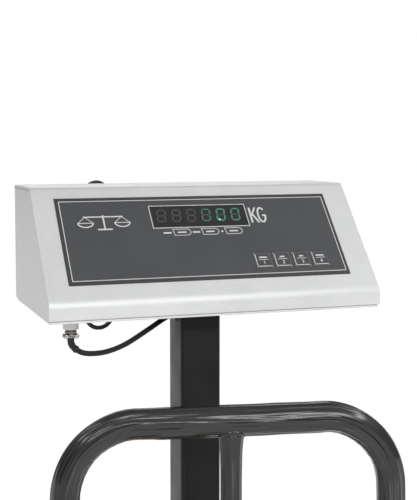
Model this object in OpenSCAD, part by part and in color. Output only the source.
// Hand pallet truck with a built-in scale: four load cells under a weigh deck, and an
// indicator head on a post behind the steering handle.
// Millimetres. +Z is up, the forks point along +Y and the operator stands at -Y.
// The origin is on the floor, under the middle of the truck's outline.

/* [Forks and deck] */
// Height of the fork tops when lowered
deck_top = 90; // [88:1:94]
// Length of the weigh deck's forks
fork_l = 1150; // [1100:10:1220]
// Width over both forks
fork_span = 540; // [520:10:560]
// Width of one fork
fork_w = 160; // [156:1:164]
// Lift of the forks
lift_travel = 115; // [100:1:120]

/* [Steering wheels and rollers] */
// Diameter of the steering wheels
wheel_d = 180; // [176:1:180]
// Width of a steering wheel
wheel_w = 50; // [44:1:50]
// Diameter of the load rollers
roller_d = 74; // [72:1:76]
// Angle of the tiller and the steering wheels at rest, clockwise seen from above
steer_rest = 10.2; // [0:0.1:15]

/* [Handle] */
// Height of the handle's top bar, at its centre
handle_z = 1186; // [1160:1:1195]
// Diameter of the plastic coating on the loop
coat_d = 25.6; // [24:0.1:27]
// Half the length of the straight top bar
bar_half = 81.5; // [75:0.5:86]
// Bend radius of the loop's top corners
corner_r = 62.2; // [56:0.1:66]

/* [Head and post] */
// Width of the head
head_w = 320; // [320:1:330]
// Depth of the head
head_d = 162; // [160:1:170]
// Height of the head
head_h = 115; // [113:1:118]
// Height of the front lip
lip_h = 17; // [16:0.5:18]
// Horizontal run of the sloping face
face_run = 84; // [83:0.5:85]
// Height of the head's underside
head_z = 1270; // [1260:1:1290]
// Width of the square post
post_w = 40; // [38:1:40]

/* [Hidden] */
$fn = 48;
e = 0.01;

// Steering unit, measured from the steering axis
wheel_r = wheel_d / 2;
wheel_in = 38;
wheel_out = wheel_in + wheel_w;
rim_r = 70;
axle_r = 10;
bearing_r = 23.5;
bearing_w = 14;
run = 0.05;                    // radial clearance of a running fit
reservoir_r = 52;
reservoir_z = [186, 290];       // clear of the wheels, which reach 180
cylinder_r = 30;
cylinder_top = 340;
ram_r = 17;
ram_top = 360;
crosshead_z = [372, 390];
spigot_r = 10;
block_x = 30;
block_y = [-108, -44];
block_z = [160, 250];

// Tiller: pivot, pump roller and plunger
tiller_y = -60;
pivot_z = 300;
pin_r = 8;
roller_arm = 28;
roller_arm_angle = 35;
cam_r = 12;
cam_y = tiller_y - roller_arm * cos(roller_arm_angle);
cam_z = pivot_z + roller_arm * sin(roller_arm_angle);
plunger_r = 11;
plunger_y = -84;
plunger_gap = 1.4;             // the cam runs nearer than a straight line at mid stroke
plunger_top = cam_z - cam_r - plunger_gap;
yoke_in = 43;
yoke_out = 53;
tube_r = 19;
tube_top = 965;

// Handle loop, in the tiller's plane: t is the direction's angle below level
steel_r = 10;
coat_r = coat_d / 2;
centre_r = 8;
centre_coat_r = 9;
side_t = 88;
side_l = 70;
lower_r = 50;
lower_turn = 60;
end_t = side_t + lower_turn;
p2 = [bar_half + corner_r * sin(side_t), handle_z - corner_r + corner_r * cos(side_t)];
p3 = p2 + side_l * [cos(side_t), -sin(side_t)];
c2 = p3 + lower_r * [-sin(side_t), -cos(side_t)];
p4 = c2 + lower_r * [sin(end_t), cos(end_t)];
leg_l = (p4[0] - 14) / -cos(end_t);
lever_z = 1036;
lever_y = tiller_y - 20;

// Forks
fork_x = (fork_span - fork_w) / 2;
heel_y = 190;
tip_y = heel_y + fork_l;
deck_t = 5;
skirt_z = 45;
inner_w = 120;
inner_t = 5;
inner_z = [28, 66];
plate_y = [134, 142];
inner_tip = tip_y - 15;

// Roller forks, push rods and rocker: the roller keeps to the floor at both ends of the lift
roller_r = roller_d / 2;
fork_pin_y = tip_y - 85;
fork_pin_z = 50;
arm_l = 190;
arm_low = asin((fork_pin_z - roller_r) / arm_l);
arm_high = asin((fork_pin_z + lift_travel - roller_r) / arm_l);
arm_swing = arm_high - arm_low;
roller_y = fork_pin_y - arm_l * cos(arm_low);
eye_r = 26;
eye_pin_r = 3.5;
rod_z = fork_pin_z - eye_r * cos(arm_swing / 2);
rod_h = 16;
rod_x = 45;                    // from the fork's centre line
rod_t = 6;
rod_travel = 2 * eye_r * sin(arm_swing / 2);
rocker_arm = 60;
rocker_swing = 2 * asin(rod_travel / 2 / rocker_arm);
rocker_y = 160;
rocker_z = rod_z + rocker_arm * cos(rocker_swing / 2);
rocker_r = 10;

// Post and head
head_y = -10;                  // the head's front lip
post_y = 68;
post_t = 2.5;
bracket_t = 4;
post_foot_t = 6;
base_t = 2;
sheet = 1.6;
face_angle = atan2(head_h - lip_h, face_run);
back_y = head_y + head_d;

// Face layout: x from the head's middle, s up the slope from the lip
label_x = [-139.2, 134.4];
label_s = [18.9, 115.3];
label_t = 0.6;
window_x = [-49.7, 46.4];
window_s = [78.7, 104.1];
digit_x0 = -39.5;
digit_pitch = 14.9;
digit_s = 92.6;
key_x0 = 50;
key_pitch = 19.5;
key_w = 16.4;
key_h = 15.9;
key_s = 38.2;
key_t = 0.6;
key_lift = 0.5;

// Connector under the head
plug_x = -134;
plug_y = 20;
thread_r = 6.5;
ring_r = 7.1;

// Cables: their routes are points [x, y, z] from the steering axis, with z from the head's underside
cell_d = 5;
cell_route = [
    [-134, 20, -19], [-133.8, 20, -22], [-132, 20, -25.5], [-128.2, 20.5, -29],
    [-124, 21, -31.4], [-118, 22, -33], [-111, 24, -33.8], [-104, 26.5, -34],
    [-97, 29.5, -33.6], [-89, 33, -32.4], [-80, 37, -30.2], [-71, 41.5, -27.2],
    [-62, 46.5, -23.8], [-53, 52, -20.4], [-45, 57, -17.4], [-37.5, 62, -14.6],
    [-31, 65.6, -12.2], [-26.4, 67.4, -10.8], [-22.3, 68, -10.5]];
grommet_z = head_z - 10.5;
lead_d = 4.5;
lead_route = [
    [-42, 155, 24], [-42, 160, 23.6], [-42.4, 164.5, 21], [-43.4, 167.2, 15],
    [-46, 167.6, 7], [-49.2, 166.4, -1], [-52.6, 164.5, -9.5], [-55.6, 162.8, -18.5],
    [-58.8, 161.8, -26.3], [-64.6, 161.2, -32.6], [-72.6, 161, -34.9], [-80.2, 161, -32.6],
    [-85.2, 161, -26.2], [-87, 161, -17], [-87.4, 161, 0], [-87.9, 161, 25], [-88.2, 161, 50],
    [-88.4, 161, 75], [-88.4, 161, 93], [-87.8, 161, 102.4], [-84.6, 161.2, 109.8],
    [-78.8, 161.6, 114.6], [-72, 162.2, 115.4], [-66.2, 163.2, 112.6], [-62.6, 164.4, 106.6],
    [-61.4, 165.4, 99.2], [-61.2, 166.1, 91.4], [-61.2, 166.5, 84], [-61.2, 166.7, 77]];
hank_x = -75;
hank_z = [31, 77];
hank_y = [164.5, 185.2];
hank_r = 16;

ink = "#2b2d30";

// The outline's front end is a steering wheel's edge, and its back end is the fork tips
front_y = -(block_x * sin(steer_rest) - block_y[0] * cos(steer_rest));
origin_y = (front_y + tip_y) / 2;

module truck() translate([0, -origin_y, 0]) children();
module steered() truck() rotate([0, 0, -steer_rest]) children();
module head() truck() translate([0, head_y, head_z]) children();
module on_face() head() translate([0, 0, lip_h]) rotate([face_angle, 0, 0]) children();
module both() for (s = [0, 1]) mirror([s, 0, 0]) children();
module sides() for (s = [-1, 1]) translate([s * fork_x, 0, 0]) children();

// A box given by its limits in x, y and z
module block(x, y, z)
    translate([x[0], y[0], z[0]]) cube([x[1] - x[0], y[1] - y[0], z[1] - z[0]]);
// A cylinder along X from x[0] to x[1]
module rod_along_x(x, y, z, r)
    translate([x[0], y, z]) rotate([0, 90, 0]) cylinder(h = x[1] - x[0], r = r);
module rod_along_y(y, x, z, r)
    translate([x, y[1], z]) rotate([90, 0, 0]) cylinder(h = y[1] - y[0], r = r);
// An outline in y and z, extruded along X
module side_plate(x)
    translate([x[0], 0, 0]) rotate([90, 0, 90]) linear_extrude(x[1] - x[0]) children();

// Points of a polygon with each corner rounded to radius r by an arc of n steps
function unit(v) = v / norm(v);
function corner(a, b, c, r, n) =
    let (u = unit(a - b), w = unit(c - b), half = acos(u * w) / 2,
         m = b + unit(u + w) * (r / sin(half)), s = b + u * (r / tan(half)),
         f = b + w * (r / tan(half)), a0 = atan2(s[1] - m[1], s[0] - m[0]),
         a1 = atan2(f[1] - m[1], f[0] - m[0]), d = (a1 - a0 + 540) % 360 - 180)
    [for (i = [0 : n]) m + r * [cos(a0 + d * i / n), sin(a0 + d * i / n)]];
function rounded(p, r, n = 6) = let (k = len(p)) [for (i = [0 : k - 1])
    each r[i] > 0 ? corner(p[(i + k - 1) % k], p[i], p[(i + 1) % k], r[i], n) : [p[i]]];
// A flat link in y and z: two eyes joined by their common tangents, extruded along X
module link(x, a, ra, b, rb) side_plate(x) {
    u = unit(b - a);
    g = asin((ra - rb) / norm(b - a));
    across = [-u[1], u[0]];
    translate(a) circle(r = ra);
    translate(b) circle(r = rb);
    polygon([a + ra * (u * sin(g) + across * cos(g)), b + rb * (u * sin(g) + across * cos(g)),
        b + rb * (u * sin(g) - across * cos(g)), a + ra * (u * sin(g) - across * cos(g))]);
}

// A tube swept along a route: rings of n points square to the mean direction of their neighbours
function direction(r, i) = unit(r[min(i + 1, len(r) - 1)] - r[max(i - 1, 0)]);
function ring(c, d, radius, n, side) =
    let (u = unit(cross(d, side)), v = cross(d, u))
    [for (k = [0 : n - 1]) c + radius * (cos(360 * k / n) * u + sin(360 * k / n) * v)];
module swept_tube(route, radius, n = 8, side = [0, 0, 1]) {
    last = len(route) - 1;
    points = [for (i = [0 : last]) each ring(route[i], direction(route, i), radius, n, side)];
    walls = [for (i = [0 : last - 1], k = [0 : n - 1])
        [i * n + k, (i + 1) * n + k, (i + 1) * n + (k + 1) % n, i * n + (k + 1) % n]];
    polyhedron(points, concat([[for (k = [0 : n - 1]) k]], walls,
        [[for (k = [n - 1 : -1 : 0]) last * n + k]]));
}

// The same with a bore: outer rings first, then the inner ones
module swept_sleeve(route, r_out, r_in, n, side) {
    last = len(route) - 1;
    inner = n * (last + 1);
    points = [for (r = [r_out, r_in], i = [0 : last])
        each ring(route[i], direction(route, i), r, n, side)];
    walls = [for (i = [0 : last - 1], k = [0 : n - 1])
        [i * n + k, (i + 1) * n + k, (i + 1) * n + (k + 1) % n, i * n + (k + 1) % n]];
    bore = [for (w = walls) [w[3], w[2], w[1], w[0]] + inner * [1, 1, 1, 1]];
    ends = [for (k = [0 : n - 1], i = [0, last]) let (a = i * n + k, b = i * n + (k + 1) % n)
        i == 0 ? [a, b, b + inner, a + inner] : [b, a, a + inner, b + inner]];
    polyhedron(points, concat(walls, bore, ends));
}

// ---- Pump and steering unit ----
module pump_housing() color("#3a3d40") steered() difference() {
    union() {
        block([-33, 33], [-34, 34], [64, 124]);
        translate([0, 0, 124 - e]) cylinder(h = reservoir_z[0] - 124 + 2 * e, r = 34);
        translate([0, 0, reservoir_z[0]])
            cylinder(h = reservoir_z[1] - reservoir_z[0], r = reservoir_r);
        block([-block_x, block_x], block_y, block_z);
        both() {
            block([28, 40], [tiller_y - 12, -36], [235, pivot_z]);
            rod_along_x([28, 40], tiller_y, pivot_z, 12);
        }
        rod_along_x([29, 44], -78, 190, 7);
        rod_along_x([29, 54], -78, 190, 4);
    }
    rod_along_x([-40, 40], 0, wheel_r, axle_r);
    translate([0, 0, 165]) cylinder(h = 200, r = cylinder_r);
    rod_along_x([-50, 50], tiller_y, pivot_z, pin_r);
    translate([0, plunger_y, 185]) cylinder(h = 100, r = plunger_r + run);
    translate([-30, 30, 280]) cylinder(h = 20, r = 5);
}
module lift_cylinder() color("#8d9194") steered() difference() {
    union() {
        translate([0, 0, 165]) cylinder(h = cylinder_top - 165, r = cylinder_r);
        translate([0, 0, 322]) cylinder(h = cylinder_top - 322, r = 34);
    }
    translate([0, 0, 180]) cylinder(h = 200, r = ram_r + run);
}
module filler_plug() color("#b9bcbe") steered() translate([-30, 30, 0]) {
    translate([0, 0, 282]) cylinder(h = 9, r = 5);
    translate([0, 0, 290]) cylinder(h = 6, r = 8, $fn = 6);
}
module steer_axle() color("#9a9da0") steered() {
    rod_along_x([-wheel_out - 6, wheel_out + 6], 0, wheel_r, axle_r);
    both() rod_along_x([wheel_out + 1, wheel_out + 8], 0, wheel_r, 15);
}
module tiller_pin() color("#9a9da0") steered() {
    rod_along_x([-yoke_out - 4, yoke_out + 4], tiller_y, pivot_z, pin_r);
    both() rod_along_x([yoke_out + 0.6, yoke_out + 4], tiller_y, pivot_z, 11);
}

// One wheel part, as a revolved profile of [radius, distance from the wheel's middle]
module wheel_part(side, profile) steered()
    translate([side * (wheel_in + wheel_w / 2), 0, wheel_r]) rotate([0, 90, 0])
        rotate_extrude($fn = 72) polygon(profile);
half_w = wheel_w / 2;
tyre_profile = [[rim_r, -half_w], [wheel_r - 4, -half_w], [wheel_r, 4 - half_w],
    [wheel_r, half_w - 4], [wheel_r - 4, half_w], [rim_r, half_w]];
hub_profile = [[bearing_r, -half_w + 2], [34, -half_w + 2], [34, -7], [62, -7],
    [62, -half_w + 3], [rim_r, -half_w + 3], [rim_r, half_w - 3], [62, half_w - 3],
    [62, 7], [34, 7], [34, half_w - 2], [bearing_r, half_w - 2]];
module steer_tyre(side) color("#b5382b") wheel_part(side, tyre_profile);
module steer_hub(side) color("#5b5f63") wheel_part(side, hub_profile);
module steer_bearings(side) color("#c9ccce") for (k = [-1, 1]) steered()
    translate([side * (wheel_in + half_w) + k * (half_w - 2 - bearing_w / 2), 0, wheel_r])
        rotate([0, 90, 0]) difference() {
            cylinder(h = bearing_w, r = bearing_r, center = true);
            cylinder(h = bearing_w + 2, r = axle_r + run, center = true);
        }
module steer_tyre_left() steer_tyre(-1);
module steer_hub_left() steer_hub(-1);
module steer_bearings_left() steer_bearings(-1);
module steer_tyre_right() steer_tyre(1);
module steer_hub_right() steer_hub(1);
module steer_bearings_right() steer_bearings(1);

module lift_ram() color("#d5d8da") steered() {
    translate([0, 0, 190]) cylinder(h = ram_top - 190, r = ram_r);
    translate([0, 0, ram_top - e]) cylinder(h = 22, r = spigot_r);
}
module thrust_bearing() color("#a9adb0") steered() difference() {
    translate([0, 0, ram_top]) cylinder(h = crosshead_z[0] - ram_top - 0.2, r = 27);
    translate([0, 0, ram_top - 1]) cylinder(h = 20, r = spigot_r);
}
module pump_plunger() color("#d5d8da") steered() translate([0, plunger_y, 0]) {
    translate([0, 0, 222]) cylinder(h = plunger_top - 222, r = plunger_r);
    translate([0, 0, plunger_top - 6]) cylinder(h = 6, r = 15);
}
spring_r = 13.4;
spring_turns = 5;
spring_wire = 1.3;
spring_z = [block_z[1] + spring_wire + 0.05, plunger_top - 6 - spring_wire - 0.05];
module pump_spring() color("#70757a") steered() translate([0, plunger_y, 0])
    swept_tube([for (a = [0 : 18 : 360 * spring_turns])
        [spring_r * cos(a), spring_r * sin(a),
         spring_z[0] + (spring_z[1] - spring_z[0]) * a / 360 / spring_turns]],
        spring_wire, 6);
module release_lever() color("#8d9194") steered() difference() {
    union() {
        rod_along_x([44.3, 52], -78, 190, 11);
        block([44.3, 50], [-100, -78], [184, 196]);
    }
    rod_along_x([43, 60], -78, 190, 4 + run);
}

// ---- Tiller ----
module tiller_yoke() color("#4a4d50") steered() difference() {
    union() {
        both() side_plate([yoke_in, yoke_out]) polygon(concat(
            [for (a = [180 : 15 : 360]) [tiller_y, pivot_z] + 18 * [cos(a), sin(a)]],
            [[tiller_y + 18, 390], [tiller_y - 18, 390], [tiller_y - 18, cam_z + 14]],
            [for (a = [110 : 20 : 230]) [cam_y, cam_z] + 11 * [cos(a), sin(a)]]));
        block([-yoke_out, yoke_out], [tiller_y - 22, tiller_y + 22], [378, 398]);
        translate([0, tiller_y, 397]) cylinder(h = 38, r = tube_r + 4);
    }
    rod_along_x([-60, 60], tiller_y, pivot_z, pin_r + run);
    rod_along_x([-60, 60], cam_y, cam_z, 5);
    translate([0, tiller_y, 388]) cylinder(h = 60, r = tube_r);
    translate([0, tiller_y, 370]) cylinder(h = 60, r = 12);
}
module tiller_tube() color("#2f3235") steered() translate([0, tiller_y, 0]) {
    translate([0, 0, tube_top - 30 - e])
        cylinder(h = handle_z - steel_r - tube_top + 30 + e, r = centre_r);
    difference() {
        translate([0, 0, 388]) cylinder(h = tube_top - 388, r = tube_r);
        translate([0, 0, 387]) cylinder(h = tube_top - 30 - 387, r = tube_r - 3);
        for (s = [-1, 1]) translate([s * p4[0], 0, p4[1]]) rotate([0, s * (90 + end_t), 0])
            cylinder(h = leg_l, r = steel_r);
    }
}
module pump_roller() color("#c9ccce") steered() {
    rod_along_x([-yoke_out, yoke_out], cam_y, cam_z, 5);
    rod_along_x([-22, 22], cam_y, cam_z, cam_r);
}
module release_rod() color("#b9bcbe") steered()
    translate([0, tiller_y, 340]) cylinder(h = 560, r = 2.5);
module lever_bracket() color(ink) steered() difference() {
    union() {
        block([-15, 15], [tiller_y - 12, tiller_y + 12], [lever_z - 14, lever_z + 14]);
        for (x = [-12, 12])
            block([x - 3, x + 3], [lever_y - 8, tiller_y], [lever_z - 8, lever_z + 8]);
    }
    translate([0, tiller_y, lever_z - 20]) cylinder(h = 40, r = centre_r);
    rod_along_x([-20, 20], lever_y, lever_z, 3);
}

// The loop's centre line from the middle of the bar, as points [x, 0, z]: the top corner's arc,
// the straight side, the lower arc as far as angle t_end, and a straight leg
function on_arc(c, r, t) = [c[0] + r * sin(t), 0, c[1] + r * cos(t)];
function half_loop(t_end, leg) = concat(
    [for (t = [0 : 8 : side_t]) on_arc([bar_half, handle_z - corner_r], corner_r, t)],
    [for (t = [side_t : 7.5 : t_end]) on_arc(c2, lower_r, t)],
    leg > 0 ? [on_arc(c2, lower_r, t_end) + leg * [cos(t_end), 0, -sin(t_end)]] : []);
function mirrored(route) = [for (i = [len(route) - 1 : -1 : 0])
    [-route[i][0], route[i][1], route[i][2]]];
function whole_loop(t_end, leg) = concat(mirrored(half_loop(t_end, leg)), half_loop(t_end, leg));
loop_sides = 16;
module handle_loop() color("#5a5d60") steered() translate([0, tiller_y, 0])
    swept_tube(whole_loop(end_t, leg_l), steel_r, loop_sides, [0, 1, 0]);
module handle_coating() color("#3c3e41") steered() translate([0, tiller_y, 0]) {
    swept_sleeve(whole_loop(side_t + 30, 0), coat_r, steel_r + 0.01, loop_sides, [0, 1, 0]);
    translate([0, 0, lever_z + 14]) difference() {
        cylinder(h = handle_z - coat_r - lever_z - 14.2, r = centre_coat_r);
        translate([0, 0, -1]) cylinder(h = handle_z, r = centre_r);
    }
}
module control_lever() color(ink) steered() {
    rod_along_x([-16, 16], lever_y, lever_z, 3 - run);
    rod_along_x([-8.7, 8.7], lever_y, lever_z, 7);
    block([-5, 5], [lever_y - 4, lever_y + 4], [lever_z + 5, lever_z + 22]);
    translate([0, lever_y, lever_z + 24]) rotate([0, 90, 0]) cylinder(h = 62, r = 5);
    rod_along_x([-6, 6], lever_y, lever_z + 24, 6);
}

// ---- Chassis and forks ----
module fork_plan(y0, l, w, r) {
    translate([-w / 2, y0]) square([w, l - r]);
    translate([-w / 2 + r, y0]) square([w - 2 * r, l]);
    for (s = [-1, 1]) translate([s * (w / 2 - r), y0 + l - r]) circle(r = r);
}
module chassis() color("#303336") truck() difference() {
    union() {
        translate([0, 0, crosshead_z[0]]) cylinder(h = crosshead_z[1] - crosshead_z[0], r = 34);
        block([-34, 34], [0, plate_y[1]], crosshead_z);
        for (s = [-1, 1]) side_plate([s * 30 - 3.5, s * 30 + 3.5])
            polygon([[40, crosshead_z[1] - 1], [plate_y[0] + 1, 428], [plate_y[0] + 1, crosshead_z[1] - 1]]);
        translate([0, plate_y[1], 0]) rotate([90, 0, 0]) linear_extrude(plate_y[1] - plate_y[0])
            polygon([[-250, inner_z[0]], [250, inner_z[0]], [250, 110], [130, 200], [60, 430],
                [-60, 430], [-130, 200], [-250, 110]]);
        sides() difference() {
            block([-inner_w / 2, inner_w / 2], [plate_y[1] - 1, inner_tip], inner_z);
            block([-inner_w / 2 + inner_t, inner_w / 2 - inner_t], [plate_y[1], inner_tip - inner_t],
                [inner_z[0] - 1, inner_z[1] - inner_t]);
        }
        both() side_plate([110, 118]) polygon([[plate_y[1] - 1, inner_z[0]],
            [184, inner_z[0]], [184, 100], [plate_y[1] - 1, 200]]);
        block([-131, 131], [plate_y[1] - 1, 182], [inner_z[0], inner_z[0] + 8]);
    }
    translate([0, 0, crosshead_z[0] - 1]) cylinder(h = 30, r = spigot_r + run);
    for (x = [-16, 16], y = [post_y - 27, post_y + 27])
        translate([x, y, crosshead_z[0] - 1]) cylinder(h = 30, r = 4);
    // Window for the link eye of the rocker lever
    block([-30, 30], [plate_y[0] - 1, plate_y[1] + 1], [70, 160]);
    sides() {
        block([-inner_w / 2 + inner_t, inner_w / 2 - inner_t], [plate_y[1], 184], [60, inner_z[1] + 1]);
        block([-39, 39], [roller_y - roller_r - 12, roller_y + roller_r + 30], [60, inner_z[1] + 1]);
        rod_along_x([-70, 70], fork_pin_y, fork_pin_z, pin_r + run);
    }
    rod_along_x([-130, 130], rocker_y, rocker_z, rocker_r + run);
}
module weigh_deck() color("#e0a01c") truck() difference() {
    union() {
        sides() difference() {
            translate([0, 0, skirt_z]) linear_extrude(deck_top - skirt_z)
                fork_plan(heel_y, fork_l, fork_w, 40);
            translate([0, 0, skirt_z - 1]) linear_extrude(deck_top - skirt_z + 1 - deck_t)
                fork_plan(heel_y - 1, fork_l + 1 - deck_t, fork_w - 2 * deck_t, 36);
        }
        block([-112, 112], [heel_y, heel_y + 70], [72, deck_top]);
        translate([0, heel_y + 6, 0]) rotate([90, 0, 0]) linear_extrude(6) polygon([
            [-fork_span / 2, 72], [fork_span / 2, 72], [fork_span / 2, 120], [150, 290],
            [-150, 290], [-fork_span / 2, 120]]);
    }
    block([-109, 109], [heel_y + 6, heel_y + 64], [60, deck_top - deck_t]);
}
cell_l = 100;
cell_w = 30;
cell_z = [68.5, 82.5];
cell_y = [heel_y + 80, inner_tip - 180];
module load_cells() color("#c4c8cb") truck() sides() for (y = cell_y) difference() {
    block([-cell_w / 2, cell_w / 2], [y, y + cell_l], cell_z);
    for (k = [-1, 1]) rod_along_x([-20, 20], y + cell_l / 2 + k * 9, 75.5, 4.5);
    block([-20, 20], [y + cell_l / 2 - 9, y + cell_l / 2 + 9], [73, 78]);
}
module load_cell_feet() color("#8d9194") truck() sides() for (y = cell_y) {
    block([-cell_w / 2, cell_w / 2], [y, y + 34], [inner_z[1], cell_z[0]]);
    translate([0, y + cell_l - 16, cell_z[1]]) cylinder(h = deck_top - deck_t - cell_z[1], r = 11);
}
module junction_box() color("#d8dadb") truck() {
    block([10, 90], [plate_y[1], 168], [215, 265]);
    block([8, 92], [168, 171], [213, 267]);
    for (x = [12, 88], z = [217, 263]) rod_along_y([171, 173], x, z, 2.5);
}
module rocker_lever() color("#5b5f63") truck() {
    rod_along_x([-fork_x - 43, fork_x + 43], rocker_y, rocker_z, rocker_r);
    a = rocker_swing / 2;
    eye = [rocker_y - rocker_arm * sin(a), rocker_z - rocker_arm * cos(a)];
    for (f = [-1, 1], s = [-1, 1]) {
        x = f * fork_x + s * (rod_x - rod_t / 2 - 3.5);
        link([x - 2.5, x + 2.5], [rocker_y, rocker_z], 13, eye, 7);
        rod_along_x([x + (s > 0 ? 0 : -9.5), x + (s > 0 ? 9.5 : 0)], eye[0], eye[1], eye_pin_r);
    }
    link([-10, 10], [rocker_y, rocker_z], 14, [138, 128], 8);
}
module push_rods() color("#8d9194") truck() sides() for (s = [-1, 1]) difference() {
    block([s * rod_x - rod_t / 2, s * rod_x + rod_t / 2],
        [rocker_y - rocker_arm * sin(rocker_swing / 2) - 8, fork_pin_y - eye_r * sin(arm_swing / 2) + 8],
        [rod_z - rod_h / 2, rod_z + rod_h / 2]);
    rod_along_x([s * rod_x - 5, s * rod_x + 5], rocker_y - rocker_arm * sin(rocker_swing / 2),
        rod_z, eye_pin_r + 1.8);
    rod_along_x([s * rod_x - 5, s * rod_x + 5], fork_pin_y - eye_r * sin(arm_swing / 2),
        rod_z, eye_pin_r + 1.8);
}
module roller_forks() color("#5b5f63") truck() sides() {
    eye = [fork_pin_y - eye_r * sin(arm_swing / 2), rod_z];
    for (s = [-1, 1]) {
        link([s * 34.5 - 3, s * 34.5 + 3], [roller_y, roller_r], 13, [fork_pin_y, fork_pin_z], 10);
        link([s * 38.7 - 2, s * 38.7 + 2], [fork_pin_y, fork_pin_z], 10, eye, 6.5);
        rod_along_x([s > 0 ? 38 : -49, s > 0 ? 49 : -38], eye[0], eye[1], eye_pin_r);
    }
    rod_along_x([-62, 62], fork_pin_y, fork_pin_z, pin_r);
    rod_along_x([-38, 38], roller_y, roller_r, pin_r);
}
module load_roller(side) color("#b5382b") truck() translate([side * fork_x, roller_y, roller_r])
    rotate([0, 90, 0]) rotate_extrude($fn = 72) polygon([[pin_r + run, -29], [roller_r - 3, -29],
        [roller_r, -26], [roller_r, 26], [roller_r - 3, 29], [pin_r + run, 29]]);
module roller_left() load_roller(-1);
module roller_right() load_roller(1);

// ---- Post and head ----
module crossed_squares(w, r) for (a = [[w - 2 * r, w], [w, w - 2 * r]]) square(a, center = true);
module rounded_square(w, r) {
    crossed_squares(w, r);
    for (x = [-1, 1], y = [-1, 1]) translate([x, y] * (w / 2 - r)) circle(r = r);
}
module post() color("#1d1e20") truck() translate([0, post_y, 0]) difference() {
    union() {
        translate([0, 0, crosshead_z[1] + post_foot_t - e])
            linear_extrude(head_z - bracket_t - crosshead_z[1] - post_foot_t + e) rounded_square(post_w, 4);
        block([-25, 25], [-36, 36], [crosshead_z[1], crosshead_z[1] + post_foot_t]);
    }
    translate([0, 0, crosshead_z[1] + post_foot_t])
        linear_extrude(head_z) rounded_square(post_w - 2 * post_t, 1.6);
    rod_along_x([-30, 0], 0, grommet_z, 4.5);
    for (x = [-16, 16], y = [-27, 27]) translate([x, y, crosshead_z[1] - 1]) cylinder(h = 20, r = 4);
}
module frame_bolts() color("#b9bcbe") truck() {
    for (x = [-16, 16], y = [post_y - 27, post_y + 27]) translate([x, y, 0]) {
        translate([0, 0, crosshead_z[0] + 2]) cylinder(h = 24, r = 4);
        translate([0, 0, crosshead_z[1] + post_foot_t]) cylinder(h = 5, r = 6.4, $fn = 6);
    }
    for (x = [-36, 36], y = [post_y - 24, post_y + 24]) translate([x, y, head_z - bracket_t]) {
        translate([0, 0, 0]) cylinder(h = 12, r = 3);
        translate([0, 0, -3]) cylinder(h = 3, r = 5.5);
    }
}
module head_bracket() color("#1d1e20") truck() difference() {
    block([-46, 46], [post_y - 32, post_y + 32], [head_z - bracket_t, head_z]);
    translate([0, post_y, head_z - 10]) cylinder(h = 20, r = 12);
    for (x = [-36, 36], y = [post_y - 24, post_y + 24])
        translate([x, y, head_z - 10]) cylinder(h = 20, r = 3);
}
module head_base() color("#c9cbcc") difference() {
    head() block([-head_w / 2, head_w / 2], [0, head_d], [0, base_t]);
    truck() translate([plug_x, plug_y, head_z - 1]) cylinder(h = 5, r = thread_r);
    truck() translate([0, post_y, head_z - 1]) cylinder(h = 5, r = 12);
    truck() for (x = [-36, 36], y = [post_y - 24, post_y + 24])
        translate([x, y, head_z - 1]) cylinder(h = 5, r = 3);
}
// The folded sheet's side outline, t inside the outer face
function shell_outline(t, floor_z) = [[t, floor_z], [t, lip_h - t * tan((90 - face_angle) / 2)],
    [face_run + t * tan(face_angle / 2), head_h - t], [head_d - t, head_h - t], [head_d - t, floor_z]];
module head_shell() color("#d3d5d6") difference() {
    head() side_plate([-head_w / 2, head_w / 2])
        polygon(rounded(shell_outline(0, base_t), [0, 4, 4, 3, 0]));
    head() side_plate([-head_w / 2 + sheet, head_w / 2 - sheet])
        polygon(rounded(shell_outline(sheet, base_t - 1), [0, 2.4, 2.4, 1.4, 0]));
    on_face() block([window_x[0] + 2, window_x[1] - 2], [window_s[0] + 2, window_s[1] - 2], [-6, 3]);
    head() block([-47, -37], [head_d - 5, head_d + 5], [19, 29]);
    head() block([80, 100], [head_d - 5, head_d + 5], [20, 33]);
}
module face_label() color("#4f5052") on_face() difference() {
    block(label_x, label_s, [0, label_t]);
    block(window_x, window_s, [-1, 2]);
    for (k = [0 : 3]) translate([key_x0 + k * key_pitch, key_s, 0])
        cube([key_w + 0.6, key_h + 0.6, 4], center = true);
}
module display_window() color("#26282a") on_face() block(window_x, window_s, [0, 0.9]);
module display_digits() color("#151a18") on_face() for (k = [0 : 5])
    translate([digit_x0 + k * digit_pitch, digit_s, -5.2]) cube([13, 19, 7], center = true);
module circuit_boards() color("#2c6b45") {
    on_face() block([-70, 70], [70, 112], [-10.4, -8.8]);
    on_face() block([35, 125], [25, 52], [-4.6, -3]);
    head() block([-120, 20], [60, 150], [10, 11.6]);
    head() for (x = [-115, 15], y = [65, 145]) translate([x, y, base_t]) cylinder(h = 8.5, r = 3);
}
module battery() color("#3a3d40") head() {
    block([50, 120], [100, 147], [base_t, 97]);
    for (x = [65, 105]) block([x - 3, x + 3], [120, 121], [96, 103]);
}
module face_key(k) color("#4f5052") on_face()
    translate([key_x0 + k * key_pitch, key_s, key_lift + key_t / 2])
        cube([key_w, key_h, key_t], center = true);
module key_mode() face_key(0);
module key_tare() face_key(1);
module key_hold() face_key(2);
module key_zero() face_key(3);

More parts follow.
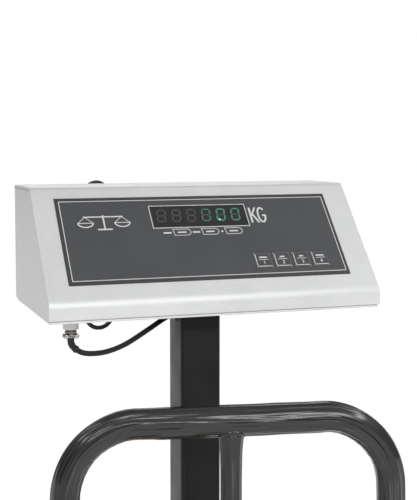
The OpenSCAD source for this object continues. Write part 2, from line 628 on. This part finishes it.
// ---- Cables and their fittings ----
module at_plug() truck() translate([plug_x, plug_y, head_z]) children();
module cell_socket() color("#cfd2d4") at_plug() {
    translate([0, 0, -8.6]) cylinder(h = 18, r = thread_r);
    translate([0, 0, -1.6]) cylinder(h = 1.6, r = 9, $fn = 6);
}
module plug_ring() color("#e3e5e6") at_plug() translate([0, 0, -9.4]) difference() {
    cylinder(h = 7.4, r = ring_r);
    translate([0, 0, -1]) cylinder(h = 9, r = thread_r + 0.06);
}
module cell_plug() color("#3a3c3e") at_plug() {
    translate([0, 0, -13]) cylinder(h = 4.4, r = 5.6);
    block([-6.5, 6.5], [-4.5, 4.5], [-17, -13 + e]);
    translate([0, 0, -19]) cylinder(h = 3, r = 3.2);
}
function raised(route) = [for (p = route) p + [0, 0, head_z]];
module cell_cable() color("#1b1c1d") truck() swept_tube(raised(cell_route), cell_d / 2, 10, [0, 1, 0]);
module cable_grommet() color("#1b1c1d") truck() {
    rod_along_x([-post_w / 2 - 1.8, -post_w / 2], post_y, grommet_z, 5.6);
    rod_along_x([-post_w / 2 - e, -post_w / 2 + post_t + 1.5], post_y, grommet_z, 4.5);
}
module power_switch() color("#1d1e20") head() difference() {
    union() {
        block([80, 100], [head_d - 14, head_d], [20, 33]);
        block([78, 102], [head_d, head_d + 1.6], [18, 35]);
    }
    block([82, 98], [head_d - 9, head_d + 2], [21.5, 31.5]);
}
module power_rocker() color("#b5382b") head() translate([90, head_d - 2, 21.8]) {
    rotate([0, 0, -8]) linear_extrude(9.4)
        polygon([[-7.2, 3.4], [-7.2, -3], [7.2, -3], [7.2, 3.4], [0, 2.4]]);
    cylinder(h = 9.4, r = 3.2);
}
module charger_gland() color("#1d1e20") truck() {
    rod_along_y([back_y - 6, back_y], -42, head_z + 24, 5);
    rod_along_y([back_y, back_y + 3], -42, head_z + 24, 7);
}
module charger_lead() color("#1b1c1d") truck() swept_tube(raised(lead_route), lead_d / 2, 8, [1, 1, 0]);
// The hank's outline: two round ends joined by straight runs
module charger_hank() color("#1b1c1d") truck() translate([hank_x, 0, head_z]) {
    for (z = hank_z) rod_along_y(hank_y, 0, z, hank_r);
    block([-hank_r, hank_r], hank_y, hank_z);
}
module charger_plug() color("#1d1e20") truck() translate([hank_x, hank_y[1], head_z])
    block([-5.5, 5.5], [0, 12], [56, 92]);
module cable_hook() color("#c9cbcc") truck() translate([hank_x, back_y, head_z]) {
    block([-5, 5], [0, 1.5], [74, 98]);
    block([-4, 4], [1.5 - e, hank_y[0] - back_y], [83.5, 87.5]);
}

pump_housing();
lift_cylinder();
filler_plug();
steer_axle();
tiller_pin();
steer_tyre_left();
steer_hub_left();
steer_bearings_left();
steer_tyre_right();
steer_hub_right();
steer_bearings_right();
lift_ram();
thrust_bearing();
pump_plunger();
pump_spring();
release_lever();
tiller_yoke();
tiller_tube();
pump_roller();
release_rod();
lever_bracket();
handle_loop();
handle_coating();
control_lever();
chassis();
weigh_deck();
load_cells();
load_cell_feet();
junction_box();
rocker_lever();
push_rods();
roller_forks();
roller_left();
roller_right();
post();
frame_bolts();
head_bracket();
head_base();
head_shell();
face_label();
display_window();
display_digits();
circuit_boards();
battery();
key_mode();
key_tare();
key_hold();
key_zero();
cell_socket();
cell_plug();
plug_ring();
cell_cable();
cable_grommet();
power_switch();
power_rocker();
charger_gland();
charger_lead();
charger_hank();
charger_plug();
cable_hook();
